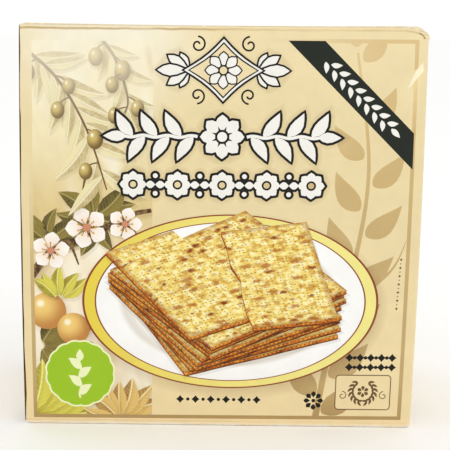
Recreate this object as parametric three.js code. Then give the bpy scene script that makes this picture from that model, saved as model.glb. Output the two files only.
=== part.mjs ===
// A shut carton of matzo, standing upright: one folded and glued blank of cream paperboard.
// Its walls are bowed by the full stack inside, both ends are closed by glued flaps, the back panel
// overlaps the glue lap, and the front right corner of the top is crushed.
// Millimetres, +Z up. The front panel faces -Y and the origin is the middle of the base.

import * as THREE from "three";
import { mergeVertices } from "three/addons/utils/BufferGeometryUtils.js";

// The carton's own size, at its folds.
const WIDTH = 198; // along X, across the front panel
const DEPTH = 110; // along Y
const HEIGHT = 203; // along Z, standing
const BOARD = 0.5; // thickness of the paperboard

// Folds: how far each one reaches into the two panels that it joins.
const WALL_FOLD = 1.6; // the four upright folds, and along X and Y at the ends
const END_FOLD = 2.2; // along Z, where the walls turn into the end flaps

// Bowing of the panels by the contents.
const EDGE_BOW = 0.7; // the upright folds at mid height, outwards along X
const SIDE_BOW = 0.8; // the middle of a side panel, past its folds
const FACE_BOW = 1.4; // the middle of the front and the back panel
const TOP_SAG_AT_FRONT = 0.6; // the top's front fold at mid width, downwards
const TOP_SAG = 1.5; // the middle of the top
const LEAN = 1.5; // the carton is racked: its top stands this far along +X from its base

// The outer end flaps hang from the front fold and stop short of the other three.
const FLAP_SIDE_GAP = 2.4;
const FLAP_BACK_GAP = 9;

// The back panel's cut edge stops this far from the upright fold at -X, over the glue lap.
const SEAM_GAP = 2.6;
const STEP = 0.06; // width of the slope that stands for a cut edge of board

// The crushed corner: front, +X, top.
const CRUSH_REACH = new THREE.Vector3(11, 22, 9);
const CRUSH_DROP = 2.4;
const CRUSH_PUSH = 0.9; // backwards, along +Y
const TIP_OUT = 0.9; // the bent flap's tip stands out along +X
const TIP_BELOW_TOP = 4.4;
const TIP_SIZE = new THREE.Vector3(4, 4, 1.8);

// Distances from an edge to the grid lines along each panel, closest together at the folds.
const FOLD_STEPS = [1, 0.577, 0.268, 0]; // tangents of 45, 30, 15 and 0 degrees
const NEAR_LINES = [4, 6.5, 9.5, 16];
const FIELD_LINES = 5; // equal strips over the rest of a panel

const HALF = new THREE.Vector3(WIDTH / 2, DEPTH / 2, HEIGHT / 2);
const FOLD = new THREE.Vector3(WALL_FOLD, WALL_FOLD, END_FOLD);
const CRUSH_CORNER = new THREE.Vector3(HALF.x, -HALF.y, HALF.z);

const { clamp, lerp, smoothstep } = THREE.MathUtils;

// Coordinates of the grid lines along one axis, from -half to half, with a pair for each cut edge.
function gridLines(half, fold, cutEdges) {
  const lines = new Set(cutEdges.flatMap((edge) => [edge, edge + STEP]));
  const fromEdge = [...FOLD_STEPS.map((tangent) => fold * (1 - tangent)), ...NEAR_LINES];
  for (const distance of fromEdge) {
    lines.add(half - distance);
    lines.add(distance - half);
  }
  const inner = half - NEAR_LINES.at(-1);
  for (let i = 1; i < FIELD_LINES; i++) lines.add(lerp(-inner, inner, i / FIELD_LINES));
  return [...lines].sort((a, b) => a - b);
}

// 0 at either edge of a panel and 1 in its middle.
const arch = (position, half) => 1 - clamp(position / half, -1, 1) ** 2;

// Rounds the folds. Gives the point and the direction in which its surface faces.
function roundFolds(point) {
  const core = HALF.clone().sub(FOLD);
  const base = point.clone().clamp(core.clone().negate(), core);
  const facing = point.clone().sub(base).divide(FOLD).normalize();
  return { point: base.add(facing.clone().multiply(FOLD)), facing };
}

// Lowers what lies one board under the outer flaps and the back panel.
function lowerInnerBoards(flat, point, facing) {
  const fromLeft = flat.x + HALF.x - STEP / 2;
  const fromRight = HALF.x - flat.x + STEP / 2;
  const fromBack = HALF.y - flat.y + STEP / 2;
  const underFlap = fromLeft < FLAP_SIDE_GAP || fromRight < FLAP_SIDE_GAP || fromBack < FLAP_BACK_GAP;
  if (underFlap) point.z -= BOARD * facing.z * Math.abs(facing.z);
  if (fromLeft < SEAM_GAP && facing.y > 0) point.y -= BOARD * facing.y ** 2;
}

// Racks the carton, bows its walls outwards and lets the top sag between its corners. The base stays flat.
function bowPanels(flat, point, facing) {
  const [acrossX, acrossY, acrossZ] = [
    arch(flat.x, HALF.x),
    arch(flat.y, HALF.y),
    arch(flat.z, HALF.z),
  ];
  const sideways = flat.x / HALF.x;
  point.x += sideways * acrossZ * (EDGE_BOW + SIDE_BOW * acrossY) + LEAN * (flat.z / HEIGHT);
  point.y += (flat.y / HALF.y) * acrossZ * FACE_BOW * acrossX;
  if (facing.z > 0) point.z -= facing.z ** 2 * acrossX * lerp(TOP_SAG_AT_FRONT, TOP_SAG, acrossY);
}

// Crushes the corner, and bends the tip of the flap out over the side.
function crushCorner(flat, point) {
  const away = flat.clone().sub(CRUSH_CORNER).divide(CRUSH_REACH).length();
  const crush = 1 - smoothstep(away, 0, 1);
  point.z -= CRUSH_DROP * crush;
  point.y += CRUSH_PUSH * crush;
  const tip = CRUSH_CORNER.clone();
  tip.z -= TIP_BELOW_TOP;
  point.x += TIP_OUT * Math.exp(-flat.clone().sub(tip).divide(TIP_SIZE).lengthSq());
}

// The blank folded up: a box whose grid is denser at the folds, then bent to the carton's form.
function cartonGeometry() {
  const cutX = [FLAP_SIDE_GAP - HALF.x, SEAM_GAP - HALF.x, HALF.x - FLAP_SIDE_GAP];
  const lines = [
    gridLines(HALF.x, FOLD.x, cutX),
    gridLines(HALF.y, FOLD.y, [HALF.y - FLAP_BACK_GAP]),
    gridLines(HALF.z, FOLD.z, []),
  ];
  const counts = lines.map((line) => line.length - 1);
  const box = new THREE.BoxGeometry(...counts, ...counts);
  const position = box.getAttribute("position");
  const flat = new THREE.Vector3();
  for (let i = 0; i < position.count; i++) {
    flat.fromBufferAttribute(position, i);
    flat.set(...flat.toArray().map((at, axis) => lines[axis][Math.round(at + counts[axis] / 2)]));
    const { point, facing } = roundFolds(flat);
    lowerInnerBoards(flat, point, facing);
    bowPanels(flat, point, facing);
    crushCorner(flat, point);
    position.setXYZ(i, point.x, point.y, point.z + HALF.z);
  }
  box.deleteAttribute("normal");
  box.deleteAttribute("uv");
  const closed = mergeVertices(box);
  closed.computeVertexNormals();
  return closed;
}

const printedBoard = new THREE.MeshStandardMaterial({
  name: "printed_board",
  color: 0xf0dfb6,
  roughness: 0.5,
  metalness: 0,
});

const carton = new THREE.Mesh(cartonGeometry(), printedBoard);
carton.name = "carton";

const shutCarton = new THREE.Group();
shutCarton.add(carton);

export default shutCarton;
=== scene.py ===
"""A shut, upright carton of matzo: folded and glued boxboard with a printed face, bowed by the stack
inside, its top corner crushed. It is one closed mesh, and each field of its print is a region of that
mesh with its own procedural ink. Lengths are in millimetres until the mesh is made."""

import math
import random
from dataclasses import dataclass

import bpy
import numpy as np
from mathutils import Matrix, Vector
from mathutils.geometry import delaunay_2d_cdt


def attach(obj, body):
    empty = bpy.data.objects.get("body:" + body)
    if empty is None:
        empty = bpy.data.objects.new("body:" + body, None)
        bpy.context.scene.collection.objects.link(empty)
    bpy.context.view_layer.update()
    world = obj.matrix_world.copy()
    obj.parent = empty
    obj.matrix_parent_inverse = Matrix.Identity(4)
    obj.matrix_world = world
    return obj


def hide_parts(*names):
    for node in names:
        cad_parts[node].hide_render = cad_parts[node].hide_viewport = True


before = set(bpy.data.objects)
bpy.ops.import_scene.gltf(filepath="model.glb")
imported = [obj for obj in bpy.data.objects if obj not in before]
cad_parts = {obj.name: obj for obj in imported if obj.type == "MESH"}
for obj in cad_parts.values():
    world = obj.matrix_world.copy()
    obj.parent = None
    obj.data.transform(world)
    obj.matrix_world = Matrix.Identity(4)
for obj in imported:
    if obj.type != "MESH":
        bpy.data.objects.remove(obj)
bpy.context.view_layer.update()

MM = 0.001  # metres in a millimetre

# ------------------------------
# The folded carton: the same named sizes and the same form as the CAD node, with fine relief on it.

WIDTH, DEPTH, HEIGHT = 198, 110, 203  # along X, Y and Z, at the folds
BOARD = 0.5
WALL_FOLD, END_FOLD = 1.6, 2.2
EDGE_BOW, SIDE_BOW, FACE_BOW = 0.7, 0.8, 1.4
TOP_SAG_AT_FRONT, TOP_SAG = 0.6, 1.5
LEAN = 1.5
FLAP_SIDE_GAP, FLAP_BACK_GAP = 2.4, 9
SEAM_GAP = 2.6
STEP = 0.06
CRUSH_REACH = np.array([11, 22, 9])
CRUSH_DROP, CRUSH_PUSH = 2.4, 0.9
TIP_OUT, TIP_BELOW_TOP = 0.9, 4.4
TIP_SIZE = np.array([4, 4, 1.8])

CREASE_AT = 2.5  # the pressed crease of the end folds, from the panel's end
CREASE_DEPTH, CREASE_WIDTH = 0.13, 0.4
BASE_CREASE = 0.4  # depth of the base's crease over that of the top's
WAVE_HEIGHT = 0.1  # slow waves over each wall

HALF = np.array([WIDTH, DEPTH, HEIGHT]) / 2
FOLD = np.array([WALL_FOLD, WALL_FOLD, END_FOLD])
CRUSH_CORNER = HALF * [1, -1, 1]


def arch(position, half):
    """0 at either edge of a panel and 1 in its middle."""
    return 1 - np.clip(position / half, -1, 1) ** 2


def smooth_step(value, low, high):
    t = np.clip((value - low) / (high - low), 0, 1)
    return t * t * (3 - 2 * t)


def relief(flat, facing):
    """Height of the pressed creases at the end folds, and of the slow waves over each wall."""
    x, y, z = flat.T
    on_wall = 1 - facing[:, 2] ** 2
    from_end = HALF[2] - abs(z)
    depth = CREASE_DEPTH * np.where(z > 0, 1, BASE_CREASE)
    crease = depth * np.exp(-(((from_end - CREASE_AT) / CREASE_WIDTH) ** 2))
    inside = smooth_step(from_end, 3, 30) * smooth_step(HALF[0] - abs(x), -1, 20)
    waves = np.sin(x / 17 + z / 29 + 1) + np.sin(y / 13 - z / 21 + x / 41)
    return on_wall * (WAVE_HEIGHT * inside * waves - crease)


def fold_up(flat):
    """Points of the plain box, measured from its middle, moved to the carton's surface."""
    core = np.clip(flat, FOLD - HALF, HALF - FOLD)
    facing = (flat - core) / FOLD
    facing /= np.linalg.norm(facing, axis=1, keepdims=True)
    point = core + facing * FOLD
    x, y, z = flat.T

    # one board lower beside the outer flaps, and on the glue lap
    from_left, from_right, from_back = x + HALF[0], HALF[0] - x, HALF[1] - y
    beside = (from_left < FLAP_SIDE_GAP + STEP / 2) | (from_right < FLAP_SIDE_GAP - STEP / 2)
    under_flap = beside | (from_back < FLAP_BACK_GAP - STEP / 2)
    point[:, 2] -= under_flap * BOARD * facing[:, 2] * abs(facing[:, 2])
    on_lap = (from_left < SEAM_GAP + STEP / 2) & (facing[:, 1] > 0)
    point[:, 1] -= on_lap * BOARD * facing[:, 1] ** 2

    # bowed walls, a sagging top, and the whole carton racked to one side
    across_x, across_y, across_z = arch(x, HALF[0]), arch(y, HALF[1]), arch(z, HALF[2])
    point[:, 0] += x / HALF[0] * across_z * (EDGE_BOW + SIDE_BOW * across_y) + LEAN * z / HEIGHT
    point[:, 1] += y / HALF[1] * across_z * FACE_BOW * across_x
    sag = TOP_SAG_AT_FRONT + (TOP_SAG - TOP_SAG_AT_FRONT) * across_y
    point[:, 2] -= (facing[:, 2] > 0) * facing[:, 2] ** 2 * across_x * sag

    # the crushed corner, and the tip of the flap bent out over the side
    crush = 1 - smooth_step(np.linalg.norm((flat - CRUSH_CORNER) / CRUSH_REACH, axis=1), 0, 1)
    point[:, 2] -= CRUSH_DROP * crush
    point[:, 1] += CRUSH_PUSH * crush
    tip = CRUSH_CORNER - [0, 0, TIP_BELOW_TOP]
    point[:, 0] += TIP_OUT * np.exp(-(((flat - tip) / TIP_SIZE) ** 2).sum(1))
    point += facing * relief(flat, facing)[:, None]
    return point + [0, 0, HALF[2]]


# ------------------------------
# Panels: each side of the carton is a flat sheet with print on it. It is cut into triangles along a
# grid and along the outlines of its print, and then folded up.

NEAR_LINES = [0, 0.35, 0.8, 1.3, 1.9, 2.2, 2.5, 2.8, 3.3, 4.6, 7, 10.5, 15.5]
FIELD_STEP = 6
CUT_EDGES = [
    [FLAP_SIDE_GAP - HALF[0], SEAM_GAP - HALF[0], HALF[0] - FLAP_SIDE_GAP],
    [HALF[1] - FLAP_BACK_GAP],
    [],
]
PANELS = {  # across, up and facing, each as an axis and a sign, and its place in the OFBake map: the
    # left and lower edge, and the map's share for each millimetre
    "front": ((0, 1), (2, 1), (1, -1), (0.006, 0.006, 0.0033)),
    "back": ((0, -1), (2, 1), (1, 1), (0.672, 0.006, 0.0016)),
    "right": ((1, 1), (2, 1), (0, 1), (0.672, 0.342, 0.0014)),
    "left": ((1, -1), (2, 1), (0, -1), (0.838, 0.342, 0.0014)),
    "top": ((0, 1), (1, 1), (2, 1), (0.006, 0.69, 0.0024)),
    "bottom": ((0, 1), (1, -1), (2, -1), (0.495, 0.69, 0.0024)),
}
BARE_RIM = 0.6  # no print but the dark fold's painted shade comes closer to a panel's edge
APART = 400  # between one panel's print coordinates and the next one's
PROBE = 0.01  # two points this far either way show how the surface faces
WITHIN_RIM = 1  # the kind of result that keeps only what lies within the panel's rim
SAME_POINT = 1e-4  # points of the print closer than this are one
ON_RIM = 0.01  # and points closer than this to the panel's edge lie on it
CUT_FACE = 0.4  # a face turned further than this cosine from its panel is a cut edge of board


def grid_lines(axis):
    """Coordinates of the grid lines along one axis, densest at the folds, a pair at each cut edge."""
    half = HALF[axis]
    lines = {edge + side for edge in CUT_EDGES[axis] for side in (0, STEP)}
    lines.update(sign * (half - near) for near in NEAR_LINES for sign in (-1, 1))
    inner = half - NEAR_LINES[-1]
    count = round(2 * inner / FIELD_STEP)
    lines.update(-inner + 2 * inner * i / count for i in range(1, count))
    return sorted({round(float(line), 2) for line in lines})


def unit(vectors):
    return vectors / np.linalg.norm(vectors, axis=-1, keepdims=True)


@dataclass
class Field:
    """A region of print: an ink, or a shade over what lies below it. place maps (u, v) to the ink's
    own coordinates, and within is the number of a field that the region is cropped to. Shades of one
    group count once where they overlap."""

    outline: np.ndarray
    ink: str = None
    shade: float = 0
    place: object = None
    within: int = None
    group: int = None


class Panel:
    """One side of the carton. Its print is placed by u, from its middle to the right, and v, up from
    its lower edge, both as seen from outside."""

    def __init__(self, name, ground="cream"):
        self.name = name
        self.across, self.up, self.out, self.bake = PANELS[name]
        self.half = HALF[self.across[0]]
        self.height = 2 * HALF[self.up[0]]
        self.fields = [Field(rectangle(-self.half, 0, self.half, self.height), ground)]
        self.within = None  # the number of the field that new ones are cropped to
        self.groups = 0

    def paint(self, ink, outline, place=None, shade=0, group=None):
        """Adds a field. Gives its number."""
        low = [BARE_RIM - self.half, BARE_RIM]
        high = [self.half - BARE_RIM, self.height - BARE_RIM]
        self.fields.append(Field(np.clip(outline, low, high), ink, shade, place, self.within, group))
        return len(self.fields) - 1

    def paint_all(self, ink, shapes):
        for shape in shapes:
            self.paint(ink, shape)

    def shade(self, outline, amount, group=None):
        self.paint(None, outline, None, amount, group)

    def halo(self, shapes, amount, reach):
        """On the front, one shade round all the shapes together, in two steps."""
        for step in (1, 0.6) if self.name == "front" else ():
            self.groups += 1
            for shape in shapes:
                self.shade(grow(shape, reach * step), amount / 2, self.groups)

    def soft_shade(self, outline, amount, reach, steps):
        """A shade that fades out over reach, in small steps."""
        for i in range(steps):
            self.shade(grow(outline, reach * (0.5 - i / (steps - 1))), amount / steps)

    def lifted(self, ink, outline, place, drop, amount, reach, steps):
        """A field of ink over its own soft shadow."""
        self.soft_shade(outline + drop, amount, reach, steps)
        self.paint(ink, outline, place)

    def outlined(self, shapes, line, fill="white"):
        """Shapes in one ink, with a black line round all of them together."""
        self.paint_all("black", [grow(shape, line) for shape in shapes])
        self.paint_all(fill, shapes)

    def on_box(self, uv):
        """Points of the panel as points of the plain box, measured from its middle."""
        flat = np.zeros((len(uv), 3))
        for (axis, sign), value in zip((self.across, self.up), (uv[:, 0], uv[:, 1] - self.height / 2)):
            flat[:, axis] = sign * value
        axis, sign = self.out
        flat[:, axis] = sign * HALF[axis]
        return flat

    def facing(self, uv):
        """The direction in which the surface faces at points of the panel."""
        limits = np.array([[-self.half, 0], [self.half, self.height]])
        slopes = []
        for step in ([PROBE, 0], [0, PROBE]):
            ahead, behind = (np.clip(uv + sign * np.array(step), *limits) for sign in (1, -1))
            slopes.append(fold_up(self.on_box(ahead)) - fold_up(self.on_box(behind)))
        return unit(np.cross(*slopes))

    def cut(self):
        """The panel's points and triangles, and for each triangle its field and the light on it."""
        u_lines = sorted(self.across[1] * line for line in grid_lines(self.across[0]))
        v_lines = sorted(self.up[1] * line + self.height / 2 for line in grid_lines(self.up[0]))
        points = [(u, v) for v in v_lines for u in u_lines]
        grid = np.arange(len(points)).reshape(len(v_lines), len(u_lines))
        edges = [*zip(grid[:, :-1].flat, grid[:, 1:].flat), *zip(grid[:-1].flat, grid[1:].flat)]
        rim = [*grid[0], *grid[1:, -1], *grid[-1, -2::-1], *grid[-2:0:-1, 0]]
        for field in self.fields[1:]:
            numbers = range(len(points), len(points) + len(field.outline))
            edges.extend(zip(numbers, [*numbers[1:], numbers[0]]))
            points.extend(field.outline)
        found, _, triangles, *_ = delaunay_2d_cdt(
            [Vector(map(float, point)) for point in points],
            [tuple(map(int, edge)) for edge in edges],
            [list(map(int, rim))],
            WITHIN_RIM,
            SAME_POINT,
            False,
        )
        uv, triangles = np.array([tuple(point) for point in found]), np.array(triangles)
        spots = uv[triangles]
        on_rim = [abs(spots[..., 0] - at) < ON_RIM for at in (-self.half, self.half)]
        on_rim += [abs(spots[..., 1] - at) < ON_RIM for at in (0, self.height)]
        flat = np.any([line.all(1) for line in on_rim], axis=0)
        return uv, triangles[~flat], *self.layers(spots[~flat].mean(1))

    def layers(self, spots):
        """The topmost field at each spot, and the light left by the shades above it."""
        tops, light = np.zeros(len(spots), int), np.ones(len(spots))
        inside, shaded = [], {}
        for i, field in enumerate(self.fields):
            inside.append(covers(field.outline, spots))
            if field.within is not None:
                inside[i] &= inside[field.within]
            if field.ink:
                tops[inside[i]] = i
                light[inside[i]] = 1
                continue
            fresh = inside[i]
            if field.group:
                before = shaded.get(field.group, False)
                fresh = inside[i] & ~np.array(before)
                shaded[field.group] = inside[i] | before
            light[fresh] *= 1 - field.shade
        return tops, light


def covers(outline, spots):
    """Which spots lie inside an outline."""
    near = np.flatnonzero(((spots > outline.min(0)) & (spots < outline.max(0))).all(1))
    x, y = spots[near].T
    crossed = np.zeros(len(near), bool)
    for (ax, ay), (bx, by) in zip(outline, np.roll(outline, -1, 0)):
        if ay != by:
            crossed ^= ((ay > y) != (by > y)) & (x < ax + (y - ay) * (bx - ax) / (by - ay))
    inside = np.zeros(len(spots), bool)
    inside[near] = crossed
    return inside


def panel_maps(panel, index, spots, tops, light):
    """The four UV maps of a panel, at each triangle's corners."""
    own = spots + [APART * index, 0]
    for i, field in enumerate(panel.fields):
        if field.place and (tops == i).any():
            own[tops == i] = field.place(spots[tops == i])
    from_side = panel.half - abs(spots[..., 0])
    from_end = np.minimum(spots[..., 1], panel.height - spots[..., 1])
    left, low, scale = panel.bake
    return {
        "OFBake": [left, low] + scale * (spots + [panel.half, 0]),
        "print": own,
        "edges": np.stack([from_side, from_end], -1),
        "light": np.repeat(light[:, None, None], 3, 1) * [1, 0],
    }


def carton_mesh(panels, materials):
    """All panels folded up and joined into one closed mesh."""
    corners, slots, normals, maps = [], [], [], []
    for index, panel in enumerate(panels):
        uv, triangles, tops, light = panel.cut()
        spots = uv[triangles]
        corners.append(panel.on_box(uv)[triangles])
        maps.append(panel_maps(panel, index, spots, tops, light))
        first, second, third = fold_up(panel.on_box(uv))[triangles].transpose(1, 0, 2)
        flat_normals = np.cross(second - first, third - first)
        sizes = np.linalg.norm(flat_normals, axis=1, keepdims=True)
        flat_normals /= np.maximum(sizes, 1e-12)
        axis, sign = panel.out
        cut_edges = (flat_normals[:, axis] * sign < CUT_FACE) & (sizes[:, 0] > 1e-6)
        smooth = panel.facing(uv)[triangles]
        smooth[cut_edges] = flat_normals[cut_edges][:, None]
        normals.append(smooth)
        names = np.array([field.ink for field in panel.fields], object)[tops]
        names[cut_edges] = "raw_board"
        slots.extend(list(materials).index(name) for name in names)

    every_corner = np.round(np.concatenate(corners).reshape(-1, 3), 3)
    vertices, joined = np.unique(every_corner, axis=0, return_inverse=True)
    faces = joined.reshape(-1, 3)
    whole = (faces != np.roll(faces, 1, 1)).all(1)
    mesh = bpy.data.meshes.new("carton_board")
    mesh.from_pydata(fold_up(vertices) * MM, [], faces[whole].tolist())
    for name in maps[0]:
        mesh.uv_layers.new(name=name, do_init=False)
        values = np.concatenate([panel_map[name] for panel_map in maps])
        mesh.uv_layers[name].data.foreach_set("uv", values[whole].ravel())
    for material in materials.values():
        mesh.materials.append(material)
    mesh.polygons.foreach_set("material_index", np.array(slots)[whole])
    mesh.normals_split_custom_set(np.concatenate(normals)[whole].reshape(-1, 3).tolist())
    return mesh


# ------------------------------
# Outlines, as arrays of points.

TAU = math.tau
TIP_REACH = 1.5  # how far a sharp tip may grow, in times the distance


def spin(degrees):
    """The matrix that turns points, given as rows, by an angle."""
    c, s = math.cos(math.radians(degrees)), math.sin(math.radians(degrees))
    return np.array([[c, s], [-s, c]])


def heading(direction):
    """The angle of a direction, in degrees."""
    return math.degrees(math.atan2(direction[1], direction[0]))


def rectangle(left, low, right, high, corner=0):
    """A rectangle, with rounded corners where corner isn't 0."""
    points = np.array([(left, low), (right, low), (right, high), (left, high)], float)
    if not corner:
        return points
    arc = [polar(angle, corner) for angle in range(180, 271, 18)]
    centres = points - np.sign(points - points.mean(0)) * corner
    return np.concatenate([centres[i] + arc @ spin(90 * i) for i in (1, 2, 3, 0)])


def ellipse(centre, radii, count=72):
    turn = np.linspace(0, TAU, count, endpoint=False)
    return np.array(centre) + np.stack([np.cos(turn), np.sin(turn)], 1) * radii


def circle(centre, radius):
    return ellipse(centre, radius, max(12, round(14 * math.sqrt(radius))))


def polar(angle, radius, centre=(0, 0)):
    """The point at an angle in degrees and a distance from centre."""
    a = math.radians(angle)
    return np.array([centre[0] + radius * math.cos(a), centre[1] + radius * math.sin(a)])


def smooth_line(points, per_span=8):
    """A smooth line through all the points."""
    p = np.array([points[0], *points, points[-1]], float)
    t = np.linspace(0, 1, per_span, endpoint=False)[:, None]
    spans = []
    for a, b, c, d in zip(p, p[1:], p[2:], p[3:]):
        spans.append(b + (c - a) / 2 * t + (a - 2.5 * b + 2 * c - d / 2) * t**2
                     + (1.5 * (b - c) + (d - a) / 2) * t**3)
    return np.concatenate([*spans, p[-1:]])


def stroke(line, width, taper=0.0):
    """The outline of a line drawn with a pen of this width, narrowing by taper towards its end."""
    line = np.array(line, float)
    along = unit(np.gradient(line, axis=0))
    half = width / 2 * (1 - taper * np.linspace(0, 1, len(line)))[:, None]
    aside = np.stack([-along[:, 1], along[:, 0]], 1) * half
    return np.concatenate([line + aside, (line - aside)[::-1]])


def grow(outline, distance):
    """The outline moved outwards. Sharp tips are blunted."""
    before, after = np.roll(outline, 1, 0), np.roll(outline, -1, 0)
    into, away = unit(outline - before), unit(after - outline)
    doubled_area = (before[:, 0] * outline[:, 1] - before[:, 1] * outline[:, 0]).sum()
    normals = [np.stack([d[:, 1], -d[:, 0]], 1) * np.sign(doubled_area) for d in (into, away)]
    half_turn = np.sqrt(np.clip((1 + (into * away).sum(1)) / 2, 1e-6, 1))
    reach = np.minimum(1 / half_turn, TIP_REACH)
    return outline + unit(sum(normals) + 1e-9) * distance * reach[:, None]


def moved(shapes, at, turn=0, scale=1, mirror=False):
    """Copies of shapes, scaled, mirrored left to right, turned by degrees and moved."""
    flip = np.array([-1 if mirror else 1, 1]) * scale
    return [(shape * flip) @ spin(turn) + at for shape in shapes]


class Leaf:
    """A leaf, petal or grain along a bowed midrib, from its base towards angle in degrees."""

    def __init__(self, base, angle, length, width, bow=0, widest=0.42):
        self.base, self.spin = np.array(base, float), spin(angle)
        self.length, self.width, self.bow = length, width, bow
        self.power = math.log(0.5) / math.log(widest)

    def outline(self, count=8):
        t = (1 - np.cos(np.linspace(0, math.pi, count))) / 2
        half = self.width / 2 * np.sin(math.pi * t**self.power)
        rib = 4 * self.bow * t * (1 - t)
        upper = np.stack([t * self.length, rib + half], 1)
        lower = np.stack([t * self.length, rib - half], 1)[-2:0:-1]
        return self.base + np.concatenate([upper, lower]) @ self.spin

    def place(self, points):
        """Points as percent along the leaf, and percent of its half width away from the midrib."""
        local = (points - self.base) @ self.spin.T
        t = local[..., 0] / self.length
        aside = (local[..., 1] - 4 * self.bow * t * (1 - t)) / (self.width / 2)
        return 100 * np.stack([t, aside], -1)


def round_place(centre, radii):
    """Maps points to percent of an ellipse's radii, from its centre."""
    return lambda points: 100 * (points - centre) / radii


# ------------------------------
# Ornaments: lists of outlines round the origin.


def spray(length, leaf, width, pitch, lean, stem):
    """A leafy stem along +X, with its leaves in turn above and below and one at the tip."""
    reach = length - leaf * 0.8
    line = [(x, 0.5 * math.sin(x / pitch * TAU / 2)) for x in np.linspace(0, reach + 1, 24)]
    shapes = [stroke(line, stem)]
    for i in range(round(reach / pitch)):
        side = 1 if i % 2 else -1
        shapes.append(Leaf((pitch * (i + 0.35), side * 0.3), side * lean, leaf, width, -side).outline())
    shapes.append(Leaf((reach, 0), 0, leaf * 0.8, width * 0.9).outline())
    return shapes


def rosette(radius, petals, width, hollow=0.16):
    """Petals round a small open middle."""
    shapes = []
    for i in range(petals):
        angle = 90 + 360 * i / petals
        base = polar(angle, radius * hollow)
        shapes.append(Leaf(base, angle, radius * (1 - hollow), width, widest=0.62).outline())
    return shapes


def both_sides(shapes, offset):
    """Shapes moved aside along +X, with their mirror images."""
    return moved(shapes, (offset, 0)) + moved(shapes, (-offset, 0), mirror=True)


def links(middles):
    """Pairs of leaves, each between two beads, that join the flowers of a row."""
    shapes = []
    for before, after in zip(middles, middles[1:]):
        half = (after - before) / 2
        leaf = Leaf((0, 0), 0, half - 6, 3.8, widest=0.5).outline()
        beads = [circle((0, side * 4.4), 1.2) for side in (-1, 1)]
        shapes += moved([*both_sides([leaf], 0), *beads], (before + half, 0))
    return shapes


def lozenge(half_width, half_height, hollow=0.1, steps=5):
    """A diamond whose sides curve inwards a little."""
    tips = [polar(90 * i, 1) * (half_width, half_height) for i in range(5)]
    points = []
    for a, b in zip(tips, tips[1:]):
        for t in np.linspace(0, 1, steps, endpoint=False):
            points.append((a + (b - a) * t) * (1 - hollow * 4 * t * (1 - t)))
    return np.array(points)


def curl(radius, turns):
    """A line that winds inwards."""
    return np.array([polar(90 + 360 * turns * s, radius * (1 - 0.8 * s)) for s in np.linspace(0, 1, 26)])


# ------------------------------
# Print. Inks are named here and mixed further down.

FRAME_IN = 5.6  # the frame line's middle, from a panel's side edges
FRAME_LOW, FRAME_HIGH = 4.9, 7.5  # and from its lower and upper ends
FRAME_PEN = 1.9
FRONT_SHIFT = [(0.2, -0.4), (-0.6, 0.5), (0, 0), (-0.1, 0)]  # lower corners first
WHEAT_PEN = 3.4
WHEAT_GAP, WHEAT_SPREAD = 2.8, 38  # between a stem and its grains, and the grains' angle to it


def frame_line(panel, low=FRAME_LOW, high=FRAME_HIGH, inset=FRAME_IN, shift=(0, 0)):
    """A line all round the panel, its corners shifted. Gives the ground within it."""
    edge, top, pen = panel.half - inset, panel.height - high, FRAME_PEN / 2
    panel.paint("tan", rectangle(-edge - pen, low - pen, edge + pen, top + pen) + shift)
    return panel.paint("cream", rectangle(pen - edge, low + pen, edge - pen, top - pen) + shift)


def wheat_ear(panel, path, grains, length):
    """An ear of wheat in flat tan: a tapering stem, and plump grains that stand off it on both sides."""
    line = smooth_line(path, 10)
    panel.paint("tan", stroke(line, WHEAT_PEN, 0.65))
    for i in range(grains + 1):
        at = min((i + 0.5) / grains, 1) * (len(line) - 1.001)
        k = int(at)
        point = line[k] + (line[k + 1] - line[k]) * (at - k)
        ahead = heading(line[k + 1] - line[k])
        side = 0 if i == grains else 1 if i % 2 else -1
        size = length * (1 - 0.25 * i / grains)
        base = point + polar(ahead + 90 * side, WHEAT_GAP)
        grain = Leaf(base, ahead + side * WHEAT_SPREAD, size, size * 0.45, side * 1.6, 0.34)
        panel.paint("tan", grain.outline(12))


def olive_sprig(panel, path, leaves, length, seed):
    """A branch of olive: narrow leaves in two tones, and fruit."""
    rng = random.Random(seed)
    line = smooth_line(path, 10)
    for i in range(leaves):
        k = int((0.06 + 0.92 * i / leaves) * (len(line) - 1.001))
        side = 1 if i % 2 else -1
        angle = heading(line[k + 1] - line[k]) + side * rng.uniform(30, 58)
        size = length * rng.uniform(0.8, 1.1)
        leaf = Leaf(line[k], angle, size, size * 0.27, -side * rng.uniform(0.5, 2.5))
        panel.lifted("olive_leaf", leaf.outline(), leaf.place, (0.8, -1.2), 0.2, 1.4, 2)
    panel.paint("twig", stroke(line, 1.7, 0.6))
    for i in range(5):
        at = int((0.14 + 0.17 * i) * len(line))
        side = 1 if i % 2 else -1
        centre = line[at] + [side * rng.uniform(4, 7), -rng.uniform(4, 7)]
        stalk = [line[at], (line[at] + centre) / 2 + [side, 1], centre]
        panel.paint("twig", stroke(smooth_line(stalk, 4), 0.7))
        radii = np.array([3.5, 4.4]) * rng.uniform(0.9, 1.15)
        panel.soft_shade(ellipse(centre, radii, 20) + [0.7, -1.1], 0.25, 2, 3)
        panel.paint("olive", ellipse(centre, radii, 24), round_place(centre, radii))


def blossom(panel, centre, radius, turn):
    """A five-petalled blossom of fruit trees."""
    for i in range(5):
        angle = turn + 72 * i
        petal = Leaf(polar(angle, radius * 0.12, centre), angle, radius * 0.9, radius * 0.82, 0, 0.6)
        panel.lifted("petal", petal.outline(), petal.place, (0.3, -0.6), 0.1, 1, 2)
    panel.paint("blush", circle(centre, radius * 0.2))
    for i in range(9):
        angle = turn + 40 * i
        foot, tip = (polar(angle, radius * share, centre) for share in (0.16, 0.42))
        panel.paint("twig", stroke([foot, tip], 0.3))
        panel.paint("pollen", ellipse(tip, 0.55, 8))


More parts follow.
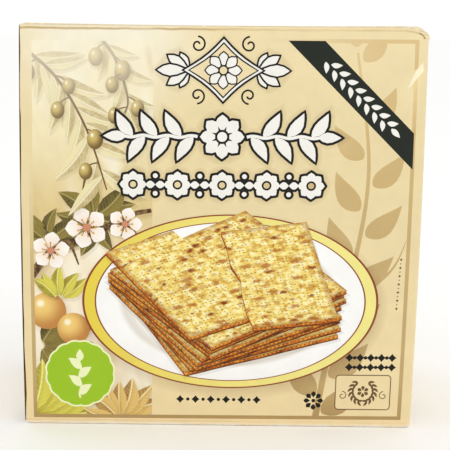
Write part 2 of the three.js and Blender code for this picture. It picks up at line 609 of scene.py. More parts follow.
def leafy_corner(panel, centre, leaves, length, ink, seed, first, last):
    """Broad leaves that fan out from a spot, between two angles in degrees."""
    rng = random.Random(seed)
    for i in range(leaves):
        angle = first + (last - first) * (i + rng.uniform(0.2, 0.8)) / leaves
        size = length * rng.uniform(0.8, 1.15)
        width = size * rng.uniform(0.4, 0.5)
        leaf = Leaf(polar(angle, 2, centre), angle, size, width, rng.uniform(-2, 2))
        panel.lifted(ink, leaf.outline(), leaf.place, (0.6, -1), 0.25, 1.5, 2)


TILT = 0.6  # the platter's depth over its width, as it is drawn
RISE = 0.8  # and the drawn share of a height
SHEET = 84  # side of a drawn sheet
SHEET_THICK, SHEET_GAP = 2.5, 0.3
EDGE_STRAY, TORN_STRAY = 0.35, 3.4  # how far its edges stray, and a broken one
SHEET_TURN, PILE_TWIST = 26, 15  # degrees, of the lowest sheet and from it to the highest
GRAIN_APART = 200  # between one sheet's stretch of grain and the next one's
BUMP_PITCH = 3.4
PRICK_PITCH = 2.2
PATCH_PITCH = 4.7  # along the sheet's Y, and more along its X
BEAD_PITCH, BEAD_DEPTH = 2.2, 0.7  # the pale beads along a sheet's side, and how deep they lie


class Sheet:
    """A drawn matzo sheet, or a piece of one, lying on the pile."""

    def __init__(self, centre, turn, lift, number):
        self.centre = np.array(centre, float) + [0, lift * RISE]
        self.matrix = spin(turn) * [1, TILT]
        self.number = number

    def draw(self, points):
        return self.centre + points @ self.matrix

    def place(self, points):
        """Panel coordinates as millimetres on the sheet, in its own stretch of grain."""
        return (points - self.centre) @ np.linalg.inv(self.matrix) + [GRAIN_APART * self.number, 0]


def sheet_outline(rng, tear=None):
    """The uneven square of a sheet. tear gives the piece left or right of a jagged break."""
    half = SHEET / 2
    pieces = {None: (-half, half, -1), "left": (-half, -4, 1), "right": (-1, half, 3)}
    left, right, torn_side = pieces[tear]
    corners = rectangle(left, -half, right, half)
    points = []
    for side in range(4):
        a, b = corners[side], corners[(side + 1) % 4]
        reach = TORN_STRAY if side == torn_side else EDGE_STRAY
        for t in np.linspace(0, 1, 6, endpoint=False):
            stray = np.array([rng.uniform(-1, 1), rng.uniform(-1, 1)]) * reach * math.sin(math.pi * t)
            points.append(a + (b - a) * t + stray)
    return np.array(points)


def side_place(corner, along, drop, number):
    """Maps points of a sheet's side to millimetres along and down it, in its own stretch of streaks."""
    matrix = np.linalg.inv([unit(along), drop / SHEET_THICK])
    return lambda points: (points - corner) @ matrix + [corner[0] * 3 + 37 * number, 0]


def paint_sheet(panel, sheet, outline):
    """The sheet's shadow, its sides that face down the picture, and its top."""
    drawn = sheet.draw(outline)
    drop = np.array([0, -SHEET_THICK * RISE])
    panel.soft_shade(drawn + 1.15 * drop, 0.4, 2.6, 3)
    for a, b in zip(drawn, np.roll(drawn, -1, 0)):
        if b[0] > a[0]:
            place = side_place(a, b - a, drop, sheet.number)
            panel.paint("matzo_side", [a, a + drop, b + drop, b], place)
    panel.paint("matzo", drawn, sheet.place)


def matzo_pile(panel, centre, sheets, seed):
    """A loose pile of sheets, each turned a little further, with a broken sheet on top."""
    rng = random.Random(seed)
    pitch = SHEET_THICK + SHEET_GAP
    centre = np.array(centre)
    for i in range(sheets):
        turn = SHEET_TURN + PILE_TWIST * i / sheets + rng.uniform(-2.6, 2.6)
        spot = centre + [rng.uniform(-1.2, 1.2), rng.uniform(-0.8, 0.8)]
        paint_sheet(panel, Sheet(spot, turn, i * pitch, i + 1), sheet_outline(rng))
    left = Sheet(centre + [-3, 2], 30, sheets * pitch, sheets + 1)
    paint_sheet(panel, left, sheet_outline(rng, "left"))
    right = Sheet(centre + [6, -3], 12, sheets * pitch + 1, sheets + 2)
    paint_sheet(panel, right, sheet_outline(rng, "right"))


def platter(panel, centre, radii):
    """A round platter with a yellow rim between two thin lines."""
    radii = np.array(radii)
    panel.soft_shade(ellipse(centre, radii) + [1.5, -2.6], 0.34, 7, 7)
    place = round_place(centre, radii)
    for ink, share in (("rim_line", 1), ("rim", 0.985), ("rim_line", 0.915), ("glaze", 0.905)):
        panel.paint(ink, ellipse(centre, radii * share, 120), place)
    panel.soft_shade(ellipse(centre, radii * 0.7) + [0, 1], 0.1, 5, 5)
    panel.shade(ellipse(centre, radii * 0.675), -0.07)


def garland(panel, at, scale=1.0):
    """A white garland with a rosette in its middle."""
    sprays = both_sides(spray(46, 14, 5.8, 5.9, 56, 1.5), 12)
    panel.halo(moved([*sprays, circle((0, 0), 10.4)], at, scale=scale), 0.16, 3.2)
    panel.outlined(moved(sprays + rosette(10.8, 8, 6.2), at, scale=scale), 1.25 * scale)
    panel.outlined([circle(at, 2.4 * scale)], 1.1 * scale)


def flower_row(panel, at, scale=1.0):
    middles = [-43.6, -21.8, 0, 21.8, 43.6]
    joined = links(middles)
    flowers = [petal for x in middles for petal in moved(rosette(6.6, 8, 4.5, 0.1), (x, 0))]
    discs = [circle((x, 0), 6.4) for x in middles]
    panel.halo(moved(discs + joined, at, scale=scale), 0.16, 3.0)
    panel.outlined(moved(flowers + joined, at, scale=scale), 1.25 * scale)
    for x in middles:
        panel.outlined([circle(at, 1.5 * scale) + [x * scale, 0]], 0.9 * scale, "tan")


def medallion(panel, at):
    """A lozenge with a flower in it, between palmettes and curled tendrils."""
    whole = [lozenge(19, 15), *both_sides([Leaf((0, 0), 0, 17, 18).outline()], 15)]
    panel.halo(moved(whole, at), 0.13, 2.2)
    for side in (-1, 1):
        for up in (-1, 1):
            line = curl(4.0, 1.2) * [side, up] + [side * 12.5, up * 12.2]
            panel.paint("black", stroke(line + at, 0.9))
    for angle, length, width in ((62, 9, 3.6), (34, 12.5, 4.6), (0, 15.5, 5.4)):
        fans = [Leaf((0, 0), turn, length, width, widest=0.6).outline() for turn in (angle, -angle)]
        for fan in moved(both_sides(fans, 16.5), at):
            panel.outlined([fan], 0.9)
    panel.outlined([lozenge(19, 15) + at], 1.0)
    panel.outlined([lozenge(16.2, 12.6) + at], 0.7, "cream")
    for petal in moved(rosette(8.6, 8, 4.6), at):
        panel.outlined([petal], 0.65)
    panel.outlined([circle(at, 1.8)], 0.8, "tan")


def corner_band(panel, outer, inner):
    """A dark band across the frame's corner, with a sprig of pale grains along it."""
    right, top = panel.half - FRAME_IN, panel.height - FRAME_HIGH
    band = [(right - outer, top), (right - inner, top), (right, top - inner), (right, top - outer)]
    panel.paint("band", band)
    middle = (outer + inner) / 2
    length = middle * math.sqrt(2)
    sprig = []
    for i in range(8):
        at = length * (0.2 + 0.075 * i)
        for side in (-1, 1):
            base = (at + 1.4 * side, side * 0.5)
            sprig.append(Leaf(base, side * 42, 5.6, 2.6, -side * 0.4).outline())
    sprig.append(Leaf((length * 0.79, 0), 0, 6.2, 2.8).outline())
    panel.paint_all("white", moved(sprig, (right - middle, top), -45))


def green_badge(panel, centre, scale=1.0):
    """A green badge with a scalloped edge and a sprig."""
    turn = np.linspace(0, TAU, 96, endpoint=False)[:, None]
    scallops = 1 - 0.035 * (1 - abs(np.sin(turn * 8)))
    for ink, radius in (("badge_edge", 18), ("badge", 17.1)):
        panel.paint(ink, ellipse(centre, radius * scale * scallops, 96))
    foot = np.array(centre) - [0, 13 * scale]
    panel.paint_all("badge_edge", moved(spray(26, 8, 4.4, 4.6, 44, 1), foot, 90, scale))


def bead_row(panel, middle, step, count, size, ink="black"):
    """A row of small lozenges with beads between them."""
    for i in range(count):
        at = middle + np.array(step) * (i - (count - 1) / 2)
        panel.paint(ink, circle(at, size * 0.42) if i % 2 else lozenge(size, size, 0.12, 3) + at)


def stamp(panel, left, low, right, high):
    """A thin rounded frame with a wreath in it."""
    for ink, inset in (("brown", 0), ("cream", 0.5)):
        panel.paint(ink, rectangle(left + inset, low + inset, right - inset, high - inset, 2 - inset))
    at = np.array([(left + right) / 2, (low + high) / 2 + 0.5])
    for side in (-1, 1):
        for i in range(7):
            angle = 90 - side * (28 + 21 * i)
            base = polar(angle, 5.6, at)
            panel.paint("brown", Leaf(base, angle - side * 62, 3.4, 1.3, side * 0.2).outline())
            panel.paint("brown", Leaf(base, angle - side * 118, 3, 1.2).outline())
        line = curl(2.3, 1.1) * [side, 1] + at + [side * 10.4, -2.2]
        panel.paint("brown", stroke(line, 0.45))
    panel.paint_all("brown", moved(rosette(3.1, 6, 1.9), at))


# How far the painted shade of the left side, a dark brown strip, reaches round the fold, from the base
# up. The end widths are those of a grid line, so that the panels still join there.
DARK_FOLD = [(0, 0.35), (16, 1.45), (26, 1.3), (42, 0.75), (54, 1.05), (66, 0.75), (97, 1), (121, 0.4),
             (135, 0.85), (158, 0.95), (163, 0.3), (176, 0.35), (189, 0.9), (HEIGHT, 0.35)]


def rubbed_corner_and_sheen(panel):
    """A smear where the print is rubbed off across the frame line, partly a painted highlight, and paler
    print round it under a painted sheen of gloss.
    """
    for low in (173, 167, 161, 155):
        panel.shade(rectangle(92.4, low, 94.3, 182), -0.05)
    smear = np.array([(96.5, 185.5), (96.9, 181.5), (94.2, 178.4), (91.9, 175.4), (89.6, 172.8),
                      (91.4, 177.6), (93.3, 181.9)])
    # painted sheen where the gloss catches the light
    painted_sheen = np.array([(95.4, 184), (96, 170), (93, 162), (88, 168), (90, 178)])
    panel.soft_shade(painted_sheen, -0.06, 6, 5)
    # bare board where the print is rubbed off, painted paler as a highlight, with a painted highlight
    # round it
    panel.paint("bare_board", smear)
    panel.soft_shade(smear, -0.05, 1.4, 3)


def shaded_crushed_corner(panel):
    """The crushed corner: painted shade along the crease, a dark brown line of painted shade where the
    fold is crushed, and a painted highlight on the paler flap tip beside it.
    """
    # painted highlight on the flap tip
    tip = np.array([(95.4, 202), (98.2, 201.8), (98.2, 198.9), (96.9, 197.8), (96.2, 199.3)])
    panel.shade(tip, -0.05)
    # painted shade along the crease and where the fold is crushed
    crease = smooth_line([(88, 200.7), (91, 200.5), (94.3, 200.8)], 4)
    panel.soft_shade(stroke(crease, 0.7), 0.12, 0.6, 2)
    crack = smooth_line([(94.3, 200.8), (95.4, 200.1), (96.1, 198.9), (96.6, 197.5)], 4)
    panel.soft_shade(stroke(crack, 1.5, 0.5), 0.22, 0.8, 3)
    panel.paint("crack", stroke(crack, 0.75, 0.3))
    # painted shade on the edge of the bent tip
    panel.shade(stroke([(96.7, 197.5), (98.1, 198.7)], 0.5), 0.14)


def print_front():
    panel = Panel("front")
    panel.within = ground = frame_line(panel, shift=FRONT_SHIFT)
    panel.within = panel.paint("linen", rectangle(-93, 5, -33.5, 194.6))
    leafy_corner(panel, (-90, 42), 7, 26, "dark_leaf", 3, -70, 70)
    leafy_corner(panel, (-95, 5), 8, 33, "lime_leaf", 4, 0, 84)
    leafy_corner(panel, (-50, 3), 7, 21, "gold_leaf", 5, 10, 172)
    for centre, radius in (((-86, 60), 9.5), ((-73, 51), 8.2)):
        place = round_place(centre, radius)
        panel.lifted("fruit", circle(centre, radius), place, (1.5, -2), 0.3, 4, 5)
    leafy_corner(panel, (-80, 66), 5, 15, "lime_leaf", 6, 20, 160)
    leafy_corner(panel, (-62, 108), 9, 21, "dark_leaf", 9, 0, 360)
    leafy_corner(panel, (-86, 96), 6, 17, "dark_leaf", 10, -20, 200)
    branch = stroke(smooth_line([(-94, 78), (-82, 92), (-66, 98), (-46, 109), (-34, 112)]), 4.6, 0.55)
    panel.lifted("bark", branch, None, (0.8, -1.6), 0.3, 2.4, 3)
    for ends in ([(-74, 95), (-70, 84)], [(-58, 102), (-62, 112)], [(-80, 92), (-88, 104)]):
        panel.paint("bark", stroke(smooth_line(ends), 1.9, 0.7))
    for centre, radius, turn in (((-84, 91), 9.5, 10), ((-66, 103), 10.5, 40), ((-47, 105), 8.5, 0)):
        blossom(panel, centre, radius, turn)
    olive_sprig(panel, [(-95, 190), (-80, 176), (-66, 152), (-56, 122)], 17, 25, 11)
    olive_sprig(panel, [(-60, 197), (-52, 186), (-46, 168), (-47, 160)], 8, 20, 12)

    panel.within = ground
    wheat_ear(panel, [(50, 5), (56, 42), (67, 88), (72, 135), (65, 190)], 15, 27)
    panel.paint("tan", stroke(smooth_line([(60, 58), (74, 72), (86, 84), (92, 98)]), 3, 0.93))
    panel.within = None
    platter(panel, (5.5, 65.5), (74, 45))
    matzo_pile(panel, (4, 61.5), 8, 21)
    corner_band(panel, 62.0, 44.2)
    garland(panel, (0.2, 148.8))
    flower_row(panel, (0.5, 125))
    medallion(panel, (0.3, 181))
    green_badge(panel, (-70, 27.3))
    bead_row(panel, (0.4, 14.4), (3.9, 0), 11, 2.1)
    panel.paint_all("black", moved([*rosette(5, 8, 2.6, 0.3), circle((0, 0), 1)], (48.8, 14.4)))
    for height in (37.4, 32.4):
        bead_row(panel, (77, height), (2.7, 0), 9, 2.2)
    bead_row(panel, (89.2, 75.7), (0.1, 2.1), 13, 0.75, "brown")
    stamp(panel, 59.6, 9.6, 87.9, 28.4)
    rubbed_corner_and_sheen(panel)
    shaded_crushed_corner(panel)
    # the left fold's dark brown strip: painted shade of the left side
    inner = [(width - panel.half, v) for v, width in DARK_FOLD]
    strip = [(-panel.half, 0), *inner, (-panel.half, panel.height)]
    panel.fields.append(Field(np.array(strip), "umber"))
    return panel


def print_back():
    panel = Panel("back")
    ground = frame_line(panel)
    garland(panel, (0, 176))
    flower_row(panel, (0, 153), 0.9)
    panel.within = ground
    wheat_ear(panel, [(-50, 5), (-62, 50), (-78, 90), (-72, 130)], 11, 24)
    wheat_ear(panel, [(52, 5), (64, 50), (78, 90), (72, 130)], 11, 24)
    panel.within = None
    platter(panel, (0, 92), (64, 39))
    matzo_pile(panel, (0, 90), 6, 5)
    panel.paint("white", rectangle(-58, 10, 8, 44, 2))
    for row in range(1, 6):
        panel.paint("brown", rectangle(-55, 10 + row * 5.6, 5, 10.35 + row * 5.6))
    bead_row(panel, (40, 14.4), (3.6, 0), 9, 1.9)
    green_badge(panel, (36, 32), 0.68)
    return panel


def print_side(name, seed):
    # the left panel's ground is the dark brown of painted shade, carried on round from the left fold
    panel = Panel(name, "umber" if name == "left" else "cream")
    panel.within = frame_line(panel)
    wheat_ear(panel, [(-34, 5), (-30, 50), (-14, 96), (20, 134)], 13, 25)
    panel.within = None
    garland(panel, (0, 172), 0.72)
    flower_row(panel, (0, 154), 0.72)
    panel.within = panel.paint("linen", rectangle(-8, 12, 42, 76))
    olive_sprig(panel, [(-10, 70), (6, 62), (22, 44), (34, 20)], 12, 19, seed)
    return panel


def print_top():
    panel = Panel("top")
    frame_line(panel, 7, FLAP_BACK_GAP + 5, 9)
    garland(panel, (0, 52), 0.95)
    return panel


# ------------------------------
# Inks. Each one gives its colour, and the board's finish is the same under all of them.

MIX_FACTOR, MIX_A, MIX_B, MIX_RESULT = 0, 6, 7, 2  # sockets of a Mix node set to colour


def srgb(red, green, blue):
    """A colour of 0 to 255, as the linear colour that nodes take."""
    linear = [c / 12.92 if c <= 0.04045 else ((c + 0.055) / 1.055) ** 2.4
              for c in (red / 255, green / 255, blue / 255)]
    return (*linear, 1)


class Graph:
    """A node tree, written as calls."""

    def __init__(self, owner):
        owner.use_nodes = True
        self.tree = owner.node_tree
        self.maps = {}

    def add(self, kind, inputs=None, **settings):
        node = self.tree.nodes.new("ShaderNode" + kind)
        for name, value in settings.items():
            setattr(node, name, value)
        for key, value in (inputs or {}).items():
            if isinstance(value, bpy.types.NodeSocket):
                self.tree.links.new(value, node.inputs[key])
            else:
                node.inputs[key].default_value = value
        return node

    def uv(self, name):
        """Both coordinates of a UV map."""
        if name not in self.maps:
            node = self.add("SeparateXYZ", {0: self.add("UVMap", uv_map=name).outputs[0]})
            self.maps[name] = node.outputs[0], node.outputs[1]
        return self.maps[name]

    def math(self, operation, a, b=0.0, c=0.0):
        return self.add("Math", {0: a, 1: b, 2: c}, operation=operation).outputs[0]

    def times(self, first, *others):
        """The product of all the values."""
        for other in others:
            first = self.math("MULTIPLY", first, other)
        return first

    def fade(self, value, start, end, low=0.0, high=1.0):
        """low where value is at start, high where it is at end, and a smooth change between."""
        inputs = {"Value": value, "From Min": start, "From Max": end, "To Min": low, "To Max": high}
        return self.add("MapRange", inputs, interpolation_type="SMOOTHSTEP").outputs[0]

    def vector(self, x, y, z=0.0):
        return self.add("CombineXYZ", {0: x, 1: y, 2: z}).outputs[0]

    def on_board(self):
        """The spot on the carton itself, in millimetres."""
        if "board" not in self.maps:
            inputs = {0: self.add("TexCoord").outputs["Object"], "Scale": 1 / MM}
            self.maps["board"] = self.add("VectorMath", inputs, operation="SCALE").outputs[0]
        return self.maps["board"]

    def noise(self, at, size, detail, rough=0.5):
        """Noise from 0 to 1 whose features are size across."""
        inputs = {"Vector": at, "Scale": 1 / size, "Detail": detail, "Roughness": rough}
        return self.add("TexNoise", inputs).outputs["Fac"]

    def mix(self, factor, a, b, blend="MIX"):
        inputs = {MIX_FACTOR: factor, MIX_A: a, MIX_B: b}
        return self.add("Mix", inputs, data_type="RGBA", blend_type=blend).outputs[MIX_RESULT]

    def ramp(self, value, *stops):
        """A colour for each value, from stops of (value, red, green, blue) in rising order."""
        low, high = stops[0][0], stops[-1][0]
        share = self.add("MapRange", {"Value": value, "From Min": low, "From Max": high}).outputs[0]
        node = self.add("ValToRGB", {0: share})
        elements = node.color_ramp.elements
        while len(elements) < len(stops):
            elements.new(0.5)
        for element, (at, *colour) in zip(elements, stops):
            element.position = (at - low) / (high - low)
            element.color = srgb(*colour)
        return node.outputs[0]

    def distance(self, x, y, at):
        inputs = {0: self.vector(x, y), 1: (*at, 0)}
        return self.add("VectorMath", inputs, operation="DISTANCE").outputs["Value"]


PLAIN_INKS = {
    "white": (241, 239, 231),
    "black": (16, 13, 9),
    "band": (26, 32, 22),
    "brown": (104, 78, 48),
    "badge": (156, 195, 34),
    "badge_edge": (240, 244, 192),
    "rim_line": (138, 66, 40),
    "twig": (116, 84, 46),
    "blush": (206, 138, 104),
    "pollen": (216, 160, 50),
    "raw_board": (196, 178, 148),
    # brown painted shade of the crushed fold
    "crack": (168, 134, 88),
    "bare_board": (248, 236, 202),
}
INKS = {name: lambda g, tone=tone: srgb(*tone) for name, tone in PLAIN_INKS.items()}


def ink(mix):
    """Marks a function as the one that mixes the ink of its name."""
    INKS[mix.__name__] = mix
    return mix


GLOW_AT = (-58, 204)  # the ground is palest here, on the front panel: partly the print's own fade, partly painted light
GLOW_NEAR, GLOW_FAR = 12, 62
FRAME_NEAR, FRAME_FAR = 68, 148  # and the frame line fades out towards that pale spot, partly painted light, between these distances from it


def glow(g, near, far):
    """How near the palest spot is, which is partly the print's own fade and partly painted light. It is
    weaker above the pressed crease.
    """
    u, v = g.uv("print")
    below_crease = g.fade(v, HEIGHT - CREASE_AT + 0.3, HEIGHT - CREASE_AT - 0.3, 0.45, 1)
    return g.times(g.fade(g.distance(u, v, GLOW_AT), far, near), below_crease)


@ink
def cream(g):
    # the ground is paler over its lowest 6 mm: painted light
    ground = g.ramp(g.uv("print")[1], (0, 247, 223, 175), (3, 242, 217, 168), (6, 236, 215, 165),
                    (110, 232, 213, 165), (160, 232, 214, 166), (203, 237, 219, 173))
    return g.mix(glow(g, GLOW_NEAR, GLOW_FAR), ground, srgb(245, 238, 214))


@ink
def tan(g):
    ground = g.ramp(g.uv("print")[1], (0, 172, 142, 90), (10, 180, 150, 98), (24, 192, 163, 110),
                    (80, 196, 168, 114), (130, 203, 175, 119), (203, 221, 193, 138))
    return g.mix(glow(g, FRAME_NEAR, FRAME_FAR), ground, cream(g))


# dark brown painted shade for the left side and its fold
@ink
def umber(g):
    return g.mix(g.fade(g.noise(g.on_board(), 14, 3), 0.35, 0.65), srgb(66, 43, 20), srgb(98, 70, 40))


@ink
def linen(g):
    u, v = g.uv("print")
    ground = g.ramp(v, (0, 216, 196, 150), (50, 246, 234, 212), (84, 240, 224, 188),
                    (112, 222, 198, 138), (150, 240, 228, 186), (203, 247, 239, 214))
    folds = g.noise(g.vector(g.math("MULTIPLY_ADD", v, 0.25, u), g.times(v, 0.3)), 17, 2)
    lit = g.mix(g.fade(folds, 0.5, 0.74, 0, 0.8), ground, srgb(250, 246, 230))
    return g.mix(g.fade(folds, 0.48, 0.28, 0, 0.7), lit, srgb(206, 182, 124))


def leaf_colour(g, light, dark, vein):
    """A leaf in two tones, one for each side of its midrib, with side veins."""
    along, aside = g.uv("print")
    tone = g.mix(g.fade(aside, -45, 45), light, dark)
    spread = g.math("ABSOLUTE", aside)
    slant = g.math("MULTIPLY_ADD", spread, -0.16, along)
    ribbed = g.math("PINGPONG", slant, RIB_PITCH / 2)
    tone = g.mix(g.fade(ribbed, 1.3, 0, 0, 0.35), tone, vein)
    mottled = g.mix(g.fade(g.noise(g.on_board(), 3.5, 3), 0.35, 0.7, 0, 0.4), tone, light)
    return g.mix(g.fade(spread, 11, 3), mottled, vein)


def ball_colour(g, core, edge, shine):
    """A round fruit lit from the upper left."""
    x, y = g.uv("print")
    body = g.mix(g.fade(g.distance(x, y, (-28, 30)), 20, 122), core, edge)
    return g.mix(g.fade(g.distance(x, y, (-36, 40)), 30, 6), body, shine)


RIB_PITCH = 100 / 11  # between a leaf's side veins, in percent of its length
PLANT_INKS = {  # a leaf's light half, dark half and veins, or a fruit's core, edge and shine
    "olive_leaf": (leaf_colour, (234, 222, 172), (190, 168, 114), (245, 238, 208)),
    "lime_leaf": (leaf_colour, (214, 204, 80), (150, 134, 38), (236, 228, 132)),
    "gold_leaf": (leaf_colour, (222, 186, 108), (150, 106, 50), (244, 226, 170)),
    "dark_leaf": (leaf_colour, (138, 122, 56), (82, 70, 30), (172, 156, 92)),
    "olive": (ball_colour, (210, 184, 108), (120, 94, 48), (252, 244, 214)),
    "fruit": (ball_colour, (240, 202, 116), (192, 132, 66), (254, 244, 212)),
}
for plant, (mixer, *tones) in PLANT_INKS.items():
    INKS[plant] = lambda g, mixer=mixer, tones=tones: mixer(g, *(srgb(*tone) for tone in tones))


@ink
def bark(g):
    grain = g.noise(g.on_board(), 2.2, 4)
    return g.mix(g.fade(grain, 0.36, 0.62), srgb(68, 46, 26), srgb(142, 108, 66))


@ink
def petal(g):
    along, aside = g.uv("print")
    tone = g.ramp(along, (0, 232, 194, 166), (35, 247, 233, 218), (100, 253, 249, 241))
    streak = g.noise(g.vector(g.times(along, 0.1), aside), 14, 2)
    return g.mix(g.fade(streak, 0.5, 0.75, 0, 0.5), tone, srgb(236, 214, 198))


@ink
def glaze(g):
    from_middle = g.distance(*g.uv("print"), (0, 0))
    return g.ramp(from_middle, (0, 238, 234, 226), (66, 243, 240, 234), (72, 228, 222, 212),
                  (76, 250, 249, 246), (100, 246, 244, 240))


@ink
def rim(g):
    return g.ramp(g.uv("print")[0], (-100, 230, 206, 66), (0, 238, 224, 128), (100, 240, 230, 140))


@ink
def matzo(g):
    """Golden blistered dough: pale bumps, pin pricks in rows, toasted patches and brown edges."""
    x, y = g.uv("print")
    here = g.vector(x, y)
    fine = g.noise(here, 1.3, 2)
    dough = g.mix(g.fade(g.noise(here, 3, 3), 0.38, 0.62), srgb(238, 206, 100), srgb(249, 232, 142))

    bumps = g.add("TexVoronoi", {"Vector": here, "Scale": 1 / BUMP_PITCH, "Randomness": 0.8})
    from_bump = g.math("MULTIPLY_ADD", fine, 0.35, bumps.outputs["Distance"])
    bumpy = g.mix(g.fade(from_bump, 0.72, 0.44, 0, 0.85), dough, srgb(253, 243, 188))
    toast = g.fade(g.noise(here, 5, 2), 0.42, 0.62, 0.05, 0.75)
    golden = g.mix(g.times(g.fade(from_bump, 0.64, 0.9), toast), bumpy, srgb(200, 138, 40))
    pricks = g.add("TexVoronoi", {"Vector": here, "Scale": 1 / PRICK_PITCH, "Randomness": 0.3})
    pricked = g.mix(g.fade(pricks.outputs["Distance"], 0.28, 0.16, 0, 0.75), golden, srgb(126, 84, 26))

    stretched = g.vector(g.times(x, 0.62), y)
    patches = g.add("TexVoronoi", {"Vector": stretched, "Scale": 1 / PATCH_PITCH})
    chance = g.add("SeparateColor", {0: patches.outputs["Color"]}).outputs
    ragged = g.math("MULTIPLY_ADD", g.noise(here, 2.2, 3), 0.7, patches.outputs["Distance"])
    brown = g.times(g.fade(ragged, 0.88, 0.56), g.fade(chance[0], 0.25, 0.65), 0.85)
    dark = g.times(g.fade(ragged, 0.64, 0.48), g.fade(chance[1], 0.55, 0.8), 0.9)
    toasted = g.mix(dark, g.mix(brown, pricked, srgb(178, 104, 22)), srgb(118, 48, 6))

    own_x = g.math("WRAP", x, -GRAIN_APART / 2, GRAIN_APART / 2)
    edge = g.math("MAXIMUM", g.math("ABSOLUTE", own_x), g.math("ABSOLUTE", y))
    baked = g.times(g.fade(edge, SHEET / 2 - 4, SHEET / 2), g.noise(here, 3, 2), 1.1)
    return g.mix(baked, toasted, srgb(160, 92, 32))


@ink
def matzo_side(g):
    """The side of a sheet: brown and golden streaks, with a broken row of pale beads."""
    along, depth = g.uv("print")
    streaks = g.noise(g.vector(g.times(along, 0.25), g.times(depth, 1.6)), 1.3, 3)
    brown = g.mix(g.fade(streaks, 0.34, 0.64), srgb(104, 38, 2), srgb(208, 109, 10))
    slow = g.noise(g.vector(along, depth), 11, 2)
    golden = g.mix(g.fade(slow, 0.46, 0.62, 0, 0.5), brown, srgb(230, 139, 22))
    beads = g.fade(g.math("PINGPONG", along, BEAD_PITCH / 2), 0.35, 0.8)
    row = g.fade(g.math("ABSOLUTE", g.math("SUBTRACT", depth, BEAD_DEPTH)), 0.6, 0.25)
    beads = g.times(beads, g.fade(slow, 0.4, 0.55, 0.2, 0.8), row)
    beaded = g.mix(beads, golden, srgb(242, 188, 80))
    return g.mix(g.fade(depth, SHEET_THICK - 1, SHEET_THICK - 0.2), beaded, srgb(66, 28, 8))


PAPER = srgb(247, 240, 224)
GRIME = srgb(204, 180, 146)
ROUGHNESS_LOW, ROUGHNESS_HIGH = 0.41, 0.53
SPECULAR = 0.25
FIBRE_SIZE, FIBRE_RELIEF = 0.5, 0.05 * MM  # the board's own texture
FOLD_WEAR = 0.6  # how far ink is worn off the folds
PAINTED_SHADE_UMBER_WEAR = 0.1  # and the dark brown ground of painted shade
WASHED_INKS = "olive_leaf", "olive", "twig"  # these pale towards the picture's upper end: partly the print's own fade, partly painted light
WASH, WASH_FROM, WASH_TO, WASH_SHARE = srgb(244, 236, 210), 146, 198, 0.62
MOTTLE_LOW, MOTTLE_HIGH = 0.975, 1.02  # an ink's own unevenness
SHADE_POWERS = 0.85, 1, 1.2  # printed shadows are a little warm
CREASE_SHADE_AND_DIRT_TONE = (0.64, 0.52, 0.37, 1)  # what the painted shade and dirt of the pressed creases leave of the ink's colour
CREASE_WAVER = 1.2  # how far the brown painted shade and dirt stray from the crease
TOP_FOLD_SHADE_TONE = (0.76, 0.76, 0.82, 1)  # and what the painted shade on the top folds leaves of it


def darkened(g, name, height):
    """An ink's colour with its wash, partly painted light, its mottling, its printed shadows, the
    painted shade and dirt in the creases, and the painted shade on the top folds.
    """
    colour = INKS[name](g)
    from_end = g.uv("edges")[1]
    light = g.uv("light")[0]
    here = g.on_board()

    # paler near the top: the print's fade and painted light
    if name in WASHED_INKS:
        colour = g.mix(g.fade(height, WASH_FROM, WASH_TO, 0, WASH_SHARE), colour, WASH)
    mottle = g.fade(g.noise(here, 11, 3), 0.3, 0.7, MOTTLE_LOW, MOTTLE_HIGH)
    tones = [g.times(mottle, g.math("POWER", light, power)) for power in SHADE_POWERS]
    colour = g.mix(1.0, colour, g.vector(*tones), "MULTIPLY")

    # painted shade and dirt along the pressed crease
    wavering = g.math("MULTIPLY_ADD", g.noise(here, 9, 3), CREASE_WAVER, from_end)
    from_crease = g.math("ABSOLUTE", g.math("SUBTRACT", wavering, CREASE_AT + CREASE_WAVER / 2))
    in_places = g.fade(g.noise(here, 40, 2), 0.62, 0.36, 0.45, 1)
    up_the_carton = g.fade(height, 20, 160, 0.3, 1)
    to_the_left = g.fade(g.add("SeparateXYZ", {0: here}).outputs[0], 50, -30, 0.5, 1)
    crease = g.times(g.fade(from_crease, 0.8, 0.15), in_places, up_the_carton, to_the_left)
    colour = g.mix(crease, colour, CREASE_SHADE_AND_DIRT_TONE, "MULTIPLY")
    # painted shade on the rounding of the top folds
    top_fold_shade = g.times(g.fade(from_end, 1.1, 0.3), g.fade(height, 150, 190))
    return g.mix(top_fold_shade, colour, TOP_FOLD_SHADE_TONE, "MULTIPLY")


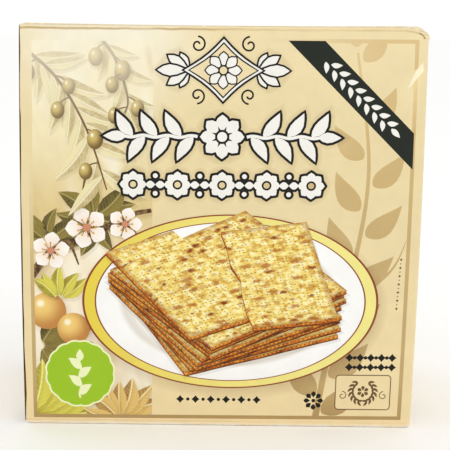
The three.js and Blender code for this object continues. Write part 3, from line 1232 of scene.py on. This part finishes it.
def ink_material(name):
    """An ink on the board, with painted shade and dirt in the creases, worn off along the folds, and
    paler at its base from wear and painted light.
    """
    material = bpy.data.materials.new("ink_" + name)
    g = Graph(material)
    here = g.on_board()
    height = g.add("SeparateXYZ", {0: here}).outputs[2]
    nearest_fold = g.math("MINIMUM", *g.uv("edges"))
    ragged = g.math("MULTIPLY_ADD", g.noise(here, 2.6, 4), -3.2, 1.75)
    wear = PAINTED_SHADE_UMBER_WEAR if name == "umber" else FOLD_WEAR
    worn = g.fade(g.math("ADD", nearest_fold, ragged), 0.5, 0, 0, wear)
    bare = g.mix(g.fade(g.noise(here, 22, 2), 0.44, 0.56), PAPER, GRIME)
    colour = g.mix(worn, darkened(g, name, height), bare)
    # the base is paler: partly wear, partly painted light
    base_wear_and_light = g.fade(g.noise(here, 7, 3), 0.3, 0.6, 0.35, 0.9)
    colour = g.mix(g.times(g.fade(height, 2.4, 0.5), base_wear_and_light), colour, PAPER)

    fibre = g.noise(here, FIBRE_SIZE, 3, 0.6)
    bump = g.add("Bump", {"Height": fibre, "Strength": 0.3, "Distance": FIBRE_RELIEF})
    rough = g.fade(g.noise(here, 6, 3), 0.3, 0.7, ROUGHNESS_LOW, ROUGHNESS_HIGH)
    shader = g.tree.nodes["Principled BSDF"]
    for socket, value in (("Base Color", colour), ("Roughness", rough), ("Normal", bump.outputs[0])):
        g.tree.links.new(value, shader.inputs[socket])
    shader.inputs["Specular IOR Level"].default_value = 0 if name == "umber" else SPECULAR
    return material


# ------------------------------
# The carton

PRINTED = [
    print_front(),
    print_back(),
    print_side("right", 7),
    print_side("left", 8),
    print_top(),
    Panel("bottom"),
]


def put(name, data):
    """A new object in the scene."""
    thing = bpy.data.objects.new(name, data)
    bpy.context.scene.collection.objects.link(thing)
    return thing


carton = put("carton_board", carton_mesh(PRINTED, {name: ink_material(name) for name in INKS}))
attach(carton, "root")
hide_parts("carton")

# ------------------------------
# Studio: a pale floor, even light from all round, and a soft light from the upper right

CAMERA_TARGET = (2.322, -55, 104.9)
CAMERA_DISTANCE = 536.6
CAMERA_AZIMUTH, CAMERA_ELEVATION, CAMERA_ROLL = 0.520, 10.033, 0.534  # degrees
CAMERA_LENS = 86.4  # for a 36 mm sensor

FLOOR_REACH = 60.0  # metres
FLOOR_COLOUR = srgb(253, 253, 252)
SKY = 1.0
KEY_AT, KEY_SIZE, KEY_POWER = (0.9, -1.1, 1.7), 1.6, 3.5


def add_camera():
    data = bpy.data.cameras.new("camera")
    data.lens = CAMERA_LENS
    data.clip_start, data.clip_end = 0.01, 100
    camera = put("camera", data)
    azimuth, elevation, roll = map(math.radians, (CAMERA_AZIMUTH, CAMERA_ELEVATION, CAMERA_ROLL))
    turn = Matrix.Rotation(azimuth, 4, "Z") @ Matrix.Rotation(math.pi / 2 - elevation, 4, "X")
    target = Vector(CAMERA_TARGET) * MM
    back = turn @ Vector((0, 0, CAMERA_DISTANCE * MM))
    camera.matrix_world = Matrix.Translation(target + back) @ turn @ Matrix.Rotation(roll, 4, "Z")
    bpy.context.scene.camera = camera


def add_floor():
    square = rectangle(-FLOOR_REACH, -FLOOR_REACH, FLOOR_REACH, FLOOR_REACH)
    mesh = bpy.data.meshes.new("floor")
    mesh.from_pydata([(*corner, 0) for corner in square], [], [(0, 1, 2, 3)])
    material = bpy.data.materials.new("floor")
    material.use_nodes = True
    shader = material.node_tree.nodes["Principled BSDF"]
    shader.inputs["Base Color"].default_value = FLOOR_COLOUR
    shader.inputs["Roughness"].default_value = 0.9
    mesh.materials.append(material)
    floor = put("floor", mesh)


def add_light():
    world = bpy.data.worlds.new("studio")
    bpy.context.scene.world = world
    world.use_nodes = True
    background = world.node_tree.nodes["Background"]
    background.inputs["Color"].default_value = (1, 1, 1, 1)
    background.inputs["Strength"].default_value = SKY
    data = bpy.data.lights.new("key", "AREA")
    data.size = KEY_SIZE
    data.energy = KEY_POWER
    key = put("key", data)
    key.location = KEY_AT
    middle = Vector((0, 0, HEIGHT / 2 * MM))
    key.rotation_euler = (middle - key.location).to_track_quat("-Z", "Y").to_euler()


add_camera()
add_floor()
add_light()
bpy.context.scene.view_settings.view_transform = "Standard"
